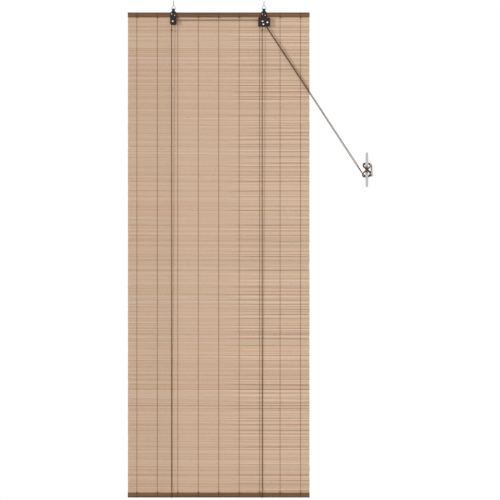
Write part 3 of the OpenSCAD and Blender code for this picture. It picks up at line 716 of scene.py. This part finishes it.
def rail_thread_loops(name, rail_low, rail_high, toward_mat, body):
    """Threads over a rail: from the mat's front face round the rail's far edge to the mat's back face, with
    a knot at the near edge. Each is a tube along straight runs joined by quarter circles."""
    sides, corner_steps = 6, 5
    face_y = rail_half + RAIL_THREAD_PROUD
    near_z, far_z = (rail_low, rail_high) if toward_mat < 0 else (rail_high, rail_low)
    far_z = far_z - toward_mat * RAIL_THREAD_PROUD
    front = [[-RAIL_THREAD_START_Y, near_z + toward_mat * RAIL_THREAD_REACH], [-face_y, near_z]]
    quarter = arc((RAIL_EDGE_R, -RAIL_EDGE_R), RAIL_EDGE_R, 180, 90, corner_steps)
    corner = [[a - face_y, far_z - toward_mat * b] for a, b in quarter]
    half = np.array(front + corner)
    whole = np.concatenate([half, half[::-1] * [-1, 1]])
    parts, uvs = [], []
    for x in thread_x:
        path = resampled(in_yz(whole, x), RAIL_THREAD_STEP)
        parts.append((tube(path, (1, 0, 0), RAIL_THREAD_R, sides), tube_faces(len(path), sides)))
        uvs.append(tube_uv(path, sides).reshape(-1, 2))
        knot_at = np.array([x, THREAD_KNOT_SINK - face_y, near_z + toward_mat * THREAD_KNOT_REACH])
        knot_part = knot(knot_at, **THREAD_KNOT)
        parts.append(knot_part)
        uvs.append(np.zeros((len(knot_part[0].reshape(-1, 3)), 2)))
    points, faces = joined(parts)
    add_piece(name, points, faces, RAIL_THREAD, body, "thread", np.concatenate(uvs))


# Cords

# Steps along the lift cords and along the others
CORD_STEP = 1.5 * MM
FINE_STEP = 0.8 * MM
# Steps of a bend under the rail and of a turn over a pulley
BEND_STEPS = 10
TURN_STEPS = 12
# Braid: its pitch, and its mean radius and the height of its strands as shares of the cord's radius
BRAID_PITCH = 6 * MM
BRAID_MEAN = 0.97
BRAID_HEIGHT = 0.07
# Shares of a lift cord's drop at which its front run comes to the mat and leaves it
REST_SHARES = (0.975, 0.8)
# Length of front run above the bottom rail that rises with the bend under it
BEND_RISE = 38 * MM
KNOT_Z = -125 * MM
CORD_KNOT = {"scale": np.array([0.9, 1.1, 1.5]) * MM, "radius": 1.3 * MM, "rows": 48, "sides": 10}


def braided(path, first_side):
    """Rings and UV of a braided cord: radius R (m + k cos(2a + ws) cos(2a - ws)) at turn a and length s."""
    sides = 12
    uv = tube_uv(path, sides)
    turn, run = uv[..., 0] * TAU, uv[..., 1] * TAU / BRAID_PITCH
    radius = CORD_R * (BRAID_MEAN + BRAID_HEIGHT * np.cos(2 * turn + run) * np.cos(2 * turn - run))
    return tube(path, carried_sides(path, first_side), radius, sides), uv


def add_cord(name, rings, uv, body):
    """Piece of braided cord."""
    return add_piece(name, rings, tube_faces(*rings.shape[:2]), CORD, body, "cord", uv)


def lift_route(x, top_z):
    """Lift cord: down the back of the mat, round the bottom rail and up the front to its pulley."""
    pulley_y = middle("left_pulley")[1]
    back_y = rail_half + CORD_GAP + CORD_R
    rest_y = -(mat_high[1] + CORD_GAP + CORD_R)
    low_z, top_rail_z = foot_low[2], foot_high[2]
    bend_r, edge_y = RAIL_EDGE_R + CORD_GAP + CORD_R, rail_half - RAIL_EDGE_R
    drop = top_z - low_z
    start_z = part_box("left_lift_cord")[1][2]
    route = np.concatenate([
        [[back_y, start_z], [back_y, top_rail_z]],
        arc((edge_y, low_z + RAIL_EDGE_R), bend_r, 0, -90, BEND_STEPS),
        arc((-edge_y, low_z + RAIL_EDGE_R), bend_r, -90, -180, BEND_STEPS),
        [[-back_y, top_rail_z]],
        [[rest_y, top_z - share * drop] for share in REST_SHARES],
        [[pulley_y, top_z - BUTT_GAP]],
    ])
    return resampled(in_yz(route, x), CORD_STEP)


def lift_cord(side, pulley):
    """One lift cord, cut near the bottom rail: its two runs ride on the blind, and the bend under the rail
    rides on the rail. The knot stays below the bracket."""
    mid = middle(pulley)
    path = lift_route(mid[0] - CORD_RUN_R, mid[2])
    rings, uv = braided(path, (1, 0, 0))
    under = np.flatnonzero(path[:, 2] <= foot_high[2])
    leaves, returns, last = under[0], under[-1] + round(BEND_RISE / CORD_STEP), len(path) - 1
    lengths = {"back": (0, leaves, 0), "bend": (leaves, returns, None), "front": (returns, last, last)}
    for name, (start, stop, held) in lengths.items():
        body = "bottom_rail" if held is None else "blind"
        piece = add_cord(f"{side}_lift_cord_{name}", rings[start:stop + 1], uv[start:stop + 1], body)
        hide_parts(f"{side}_lift_cord")
        if held is not None:
            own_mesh(piece)
    front = path[returns:]
    knot_at = front[np.argmin(np.abs(front[:, 2] - KNOT_Z))]
    add_piece(f"{side}_cord_knot", *knot(knot_at, **CORD_KNOT), CORD, "blind", "cord")


def turn_over(pulley, start, stop):
    """Turn of a cord over a pulley, from one angle to another in degrees."""
    mid = middle(pulley)
    return in_xz(arc((mid[0], mid[2]), CORD_RUN_R, start, stop, TURN_STEPS), mid[1])


def lock_exit(pulley):
    """Where a cord that turned over a lock pulley passes the lock's lower edge."""
    mid = middle(pulley)
    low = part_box("lock_cover")[0][2] - LOCK_CLEARANCE
    leave = mid + CORD_RUN_R * np.array([math.cos(LOCK_ANGLE), 0, math.sin(LOCK_ANGLE)])
    return np.array([leave[0] + (leave[2] - low) * math.tan(LOCK_ANGLE), mid[1], low])


def pulley_cord(name, node, route):
    """Cord that the brackets hold all the way."""
    rings, uv = braided(resampled(route, FINE_STEP), (0, 1, 0))
    piece = add_cord(name, rings, uv, "blind")
    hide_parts(node)


# Route of the doubled draw cord round the cleat, in millimetres from the cleat's middle at the wall
WINDING_ROUTE = [
    [-20.5, -11, -14], [-13, -10.5, -22.5], [-7, -9, -28.5], [0, -8, -30.5], [7, -9, -29],
    [12, -14, -23], [13, -21, -14], [7, -26, -6], [0, -27, 0], [-7, -26, 7], [-13, -20, 15],
    [-11, -14, 23], [-7, -9, 28], [0, -8, 30], [7, -9, 28], [12, -15, 23], [14, -23, 14],
    [8, -30, 7], [0, -31, 0], [-9, -30, -8], [-18, -23, -17], [-19, -12, -25.5], [-9, -4.5, -31],
    [0, -4, -31], [8, -5, -30], [16, -11, -25], [17, -23, -14], [9, -33, -7], [0, -35, 0],
    [-10, -33, 8], [-17, -22, 17], [-15, -10, 25], [-7, -4, 29], [0, -4, 30], [8, -5.5, 28.2],
]
LOOP_ROUTE = [
    [16, -10.5, 27], [20.6, -16, 21], [21.8, -23.5, 9], [21.6, -29, -6], [22.2, -32, -18],
    [22.6, -33, -27], [20.4, -33.5, -30.2], [18.2, -33.5, -27], [17.6, -32.5, -18],
    [17.2, -29.5, -6], [18, -25, 9], [17.7, -17.5, 17.2], [14, -10.4, 23],
]
APPROACH_PLACE = [-51.4, -22, 32]
APPROACH_GAP = 5 * MM
STRAND_GAP = 3.4 * MM
HORN_MID_Y = -0.5 * MM
STRAIGHT = 24 * MM
# Step of the points that keep the curve on the straight run's line
RUN_STEP = 50 * MM
SPAN_POINTS = 16
EASE_TIMES = 8


def draw_cord():
    """Doubled draw cord: from the lock to the cleat, round its horns to the hanging loop, and back."""
    cleat_mid, cleat_high = middle("cleat"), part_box("cleat")[1]
    origin = np.array([cleat_mid[0], cleat_high[1], cleat_mid[2]])
    winding = origin + np.array(WINDING_ROUTE) * MM
    out = (winding - [origin[0], HORN_MID_Y, 0]) * [1, 1, 0]
    beside = STRAND_GAP / 2 * unit(np.cross(out, directions(winding)))
    upper, lower = lock_exit("upper_lock_pulley"), lock_exit("lower_lock_pulley")
    approach = origin + np.array(APPROACH_PLACE) * MM
    ahead = unit(approach - (upper + lower) / 2)
    apart = APPROACH_GAP / 2 * unit(np.cross([0, -1, 0], ahead))
    route = np.concatenate([
        [upper + BUTT_GAP * ahead],
        resampled([upper + STRAIGHT * ahead, approach + apart], RUN_STEP),
        winding - beside,
        origin + np.array(LOOP_ROUTE) * MM,
        (winding + beside)[::-1],
        resampled([approach - apart, lower + STRAIGHT * ahead], RUN_STEP),
        [lower + BUTT_GAP * ahead],
    ])
    path = eased(resampled(smooth_curve(route, SPAN_POINTS), FINE_STEP), EASE_TIMES)
    rings, uv = braided(path, (0, 1, 0))
    piece = add_cord("draw_cord_braid", rings, uv, None)
    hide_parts("draw_cord")
    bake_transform(piece)


# Hooks, rings and cleat

# Angles in degrees of the hook's bend out from the shoulder and of its eye
HOOK_OUT = (180, 240)
HOOK_EYE = (56, -215)
# How far the ring's wire stays inside the solid's
RING_INSET = 0.01 * MM


def screw_thread(mid, radius, length, tip):
    """Screw shank along Z: radius r(h, a) falls from the crest to the core as the turn h / pitch - a / 2 pi
    leaves one half, after a plain stretch, and the last stretch tapers to a point."""
    pitch, depth, sides, rows_per_turn = 1.7 * MM, 0.45 * MM, 20, 10
    crest_slope, plain_length, fade_length, least_taper = 3.2, 1.2 * MM, 2 * MM, 0.06
    h = np.linspace(0, length, int(length / pitch * rows_per_turn))[:, None]
    angle = np.arange(sides)[None, :] * TAU / sides
    turn = (h / pitch - angle / TAU) % 1.0
    crest = np.clip(1 - np.abs(turn - 0.5) * crest_slope, 0, 1)
    cut = np.clip((h - plain_length) / fade_length, 0, 1)
    taper = np.clip((length - h) / tip, least_taper, 1)
    r = (radius - depth * cut * (1 - crest)) * taper
    points = np.stack(np.broadcast_arrays(r * np.cos(angle), r * np.sin(angle), h), axis=-1)
    return mid + points, tube_faces(len(h), sides)


def screw_hook(side):
    """Screw hook: threaded shank, rounded shoulder, and wire that bends out and then round into the eye."""
    x = middle(f"{side}_hook")[0]
    shoulder_r, shoulder_t = HOOK_SHOULDER
    wire_sides, flange_sides, hole_r = 16, 32, 0.3 * MM
    out_steps, eye_steps, edge_steps = 12, 60, 8
    sunk_share, tip_rings, least_round = 0.3, 3, 0.02
    eye_z = -(shoulder_t + HOOK_BEND_R * math.sqrt(3))
    wire = np.concatenate([
        [[0, -sunk_share * shoulder_t]],
        arc((HOOK_BEND_R, -shoulder_t), HOOK_BEND_R, *HOOK_OUT, out_steps),
        arc((0, eye_z), HOOK_BEND_R, *HOOK_EYE, eye_steps),
    ])
    path = in_yz(wire, x)
    from_tip = np.clip(np.arange(len(path))[::-1] / tip_rings, 0, 1)
    rounded = np.sqrt(np.clip(1 - (1 - from_tip) ** 2, least_round, 1))
    rings = tube(path, (1, 0, 0), WIRE_R * rounded[:, None], wire_sides)
    wire_part = (rings, tube_faces(len(path), wire_sides))
    edge = arc((shoulder_r - shoulder_t / 2, -shoulder_t / 2), shoulder_t / 2, 90, -90, edge_steps)
    profile = np.concatenate([[[hole_r, 0]], edge, [[hole_r, -shoulder_t]]])[::-1]
    flange_part = (revolved(profile, (x, 0, 0), flange_sides), tube_faces(len(profile), flange_sides))
    shank_part = screw_thread((x, 0, 0), *SHANK, SHANK_TIP)
    points, faces = joined([wire_part, flange_part, shank_part])
    # One steel in two copies: the wire and shoulder take the darker copy as painted dark reflection, and the
    # shank keeps the bright plated steel.
    piece = add_piece(f"{side}_screw_hook", points, faces, DARK_REFLECTION_STEEL, "fixings", "plated_steel")
    piece.data.materials.append(PLATED)
    dark_reflection_faces = len(wire_part[1]) + len(flange_part[1])
    piece.data.polygons.foreach_set("material_index", [0] * dark_reflection_faces + [1] * len(shank_part[1]))
    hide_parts(f"{side}_hook")


def wire_ring(side):
    """Three sided ring: a closed tube along three straight sides joined by corner arcs."""
    sides, base_steps, top_steps = 14, 12, 10
    low, high = box_corners(f"{side}_ring")
    base_z, top_z = low[2] + RING_R, high[2] - RING_R
    half_w = (high[0] - low[0]) / 2 - RING_R
    mid = np.array([half_w - RING_CORNER_R, base_z + RING_CORNER_R])
    top = np.array([0, top_z - RING_CORNER_R])
    lean = math.degrees(math.atan2(mid[0], top[1] - mid[1]))
    right = np.concatenate([
        [[0, base_z]],
        arc(mid, RING_CORNER_R, -90, lean, base_steps),
        arc(top, RING_CORNER_R, lean, 90, top_steps),
    ])
    outline = np.concatenate([right, right[-2:0:-1] * [-1, 1]])
    path = in_xz(outline, 0) + [middle(f"{side}_ring")[0], 0, 0]
    rings = tube(path, (0, 1, 0), RING_R - RING_INSET, sides, closed=True)
    # The ring takes the darker copy of the steel: painted dark reflection.
    piece = add_piece(f"{side}_wire_ring", rings, grid_faces(len(path), sides, closed_rows=True).tolist(),
                      DARK_REFLECTION_STEEL, "fixings", "plated_steel")
    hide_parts(f"{side}_ring")


def cleat_body():
    """Cleat: the solid's own shape with its edges rounded as a moulding's are."""
    mesh = nodes["cleat"].data.copy()
    mesh.name = "cleat_moulding"
    piece = bpy.data.objects.new("cleat_moulding", mesh)
    bpy.context.scene.collection.objects.link(piece)
    weld = piece.modifiers.new("weld", "WELD")
    weld.merge_threshold = 0.01 * MM
    flat = piece.modifiers.new("flat", "DECIMATE")
    flat.decimate_type = "DISSOLVE"
    flat.angle_limit = math.radians(1)
    rounding = piece.modifiers.new("rounding", "BEVEL")
    rounding.width = 1.1 * MM
    rounding.segments = 3
    rounding.limit_method = "ANGLE"
    rounding.angle_limit = math.radians(40)
    rounding.harden_normals = True
    mesh.polygons.foreach_set("use_smooth", [True] * len(mesh.polygons))
    mesh.materials.clear()
    mesh.materials.append(CLEAT_GREY)
    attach(piece, "fixings")
    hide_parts("cleat")


# Camera, light and floor

KEY_TILT = math.radians(86)
KEY_TURN = math.radians(-57)
# The world's strength and colour as light
FILL = 0.68
FILL_COLOUR = (1.07, 1.0, 0.955, 1)
WHITE = (1, 1, 1, 1)
FLOOR_HALF = (1.5, 1.2)
FLOOR_Z = -2.35


def camera():
    """Camera square to the blind, at the photograph's framing."""
    data = bpy.data.cameras.new("camera")
    data.sensor_width = SENSOR_MM
    data.lens = SENSOR_MM * CAMERA_DISTANCE / (PHOTO_PX * PX_SIZE)
    view = bpy.data.objects.new("camera", data)
    centre = PHOTO_PX / 2
    view.location = ((centre - ORIGIN_PX[0]) * PX_SIZE, -CAMERA_DISTANCE, (ORIGIN_PX[1] - centre) * PX_SIZE)
    view.rotation_euler = (math.pi / 2, 0, 0)
    bpy.context.scene.collection.objects.link(view)
    bpy.context.scene.camera = view


def studio_light():
    """Cool key lamp from the left, and a pale world, warm in the shadows, that shows white to the camera and
    to gloss."""
    lamp = bpy.data.lights.new("key", "SUN")
    lamp.energy = 1.85
    lamp.angle = math.radians(1.2)
    lamp.color = (0.88, 1.0, 1.07)
    key = bpy.data.objects.new("key", lamp)
    key.rotation_euler = (KEY_TILT, 0, KEY_TURN)
    bpy.context.scene.collection.objects.link(key)
    world = bpy.data.worlds.new("studio")
    world.use_nodes = True
    bpy.context.scene.world = world
    tree = world.node_tree
    ray = add_node(tree, "ShaderNodeLightPath")
    shown = math_node(tree, "MAXIMUM", ray.outputs["Is Camera Ray"], ray.outputs["Is Glossy Ray"])
    shown = math_node(tree, "MAXIMUM", shown, ray.outputs["Is Transmission Ray"])
    strength = math_node(tree, "MULTIPLY_ADD", shown, 1 - FILL, FILL)
    colour = mixed(tree, shown, FILL_COLOUR, WHITE)
    back = tree.nodes["Background"]
    tree.links.new(colour, back.inputs["Color"])
    tree.links.new(strength, back.inputs["Strength"])


def floor():
    """Pale floor below the blind."""
    mid_x = (cad_box[0][0] + cad_box[1][0]) / 2
    mesh = bpy.data.meshes.new("floor")
    signs = ((-1, -1), (1, -1), (1, 1), (-1, 1))
    corners = [(mid_x + i * FLOOR_HALF[0], j * FLOOR_HALF[1], FLOOR_Z) for i, j in signs]
    mesh.from_pydata(corners, [], [(0, 1, 2, 3)])
    finish = Finish("pale_floor", roughness=0.9)
    speck = finish.group(GRAIN, Vector=finish.place, Scale=(3, 3, 3), Detail=3.0)
    finish.feed("Base Color", finish.mix(speck, srgb(240, 240, 240), srgb(246, 246, 245)))
    mesh.materials.append(finish.material)
    plate = bpy.data.objects.new("floor", mesh)
    bpy.context.scene.collection.objects.link(plate)


def dress_nodes():
    """Materials of the solids that stay as they are."""
    looks = {
        "head_rail": stained_wood("head_rail_wood", head_low, head_high, 1),
        "bottom_rail": stained_wood("bottom_rail_wood", foot_low, foot_high, -1),
        "left_bracket_plate": BLACK_PAINT, "right_bracket_plate": BLACK_PAINT,
        "left_pulley_cover": BLACK_PAINT, "lock_cover": BLACK_PAINT, "lock_pawl": BLACK_PAINT,
        "left_pulley": BLACK_PLASTIC, "upper_lock_pulley": BLACK_PLASTIC, "lower_lock_pulley": BLACK_PLASTIC,
        "left_pulley_rivet": RIVET, "upper_pulley_rivet": RIVET, "lower_pulley_rivet": RIVET,
        "pawl_rivet": RIVET, "left_bracket_nails": RIVET, "right_bracket_nails": RIVET,
        "cord_staples": PLATED, "cleat_screws": PLATED,
    }
    for name, material in looks.items():
        mesh = nodes[name].data
        mesh.materials.clear()
        mesh.materials.append(material)


camera()
draw_cord()
lift_cord("left", "left_pulley")
lift_cord("right", "lower_lock_pulley")
pulley_cord("cross_cord_braid", "cross_cord", np.concatenate([
    turn_over("left_pulley", 180, 90),
    turn_over("upper_lock_pulley", 90, math.degrees(LOCK_ANGLE)),
    [lock_exit("upper_lock_pulley")],
]))
pulley_cord("lock_cord_braid", "lock_cord", np.concatenate([
    turn_over("lower_lock_pulley", 180, math.degrees(LOCK_ANGLE)),
    [lock_exit("lower_lock_pulley")],
]))

for woven, stood_for in ((slats(), "bamboo_mat"), (thread_pairs(), "warp_threads")):
    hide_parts(stood_for)
    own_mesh(woven)
rail_thread_loops("head_rail_threads", head_low[2], head_high[2], -1, "blind")
rail_thread_loops("bottom_rail_threads", foot_low[2], foot_high[2], 1, "bottom_rail")
for hand in ("left", "right"):
    screw_hook(hand)
    wire_ring(hand)
cleat_body()
dress_nodes()
studio_light()
floor()

bpy.context.scene.view_settings.view_transform = "Standard"
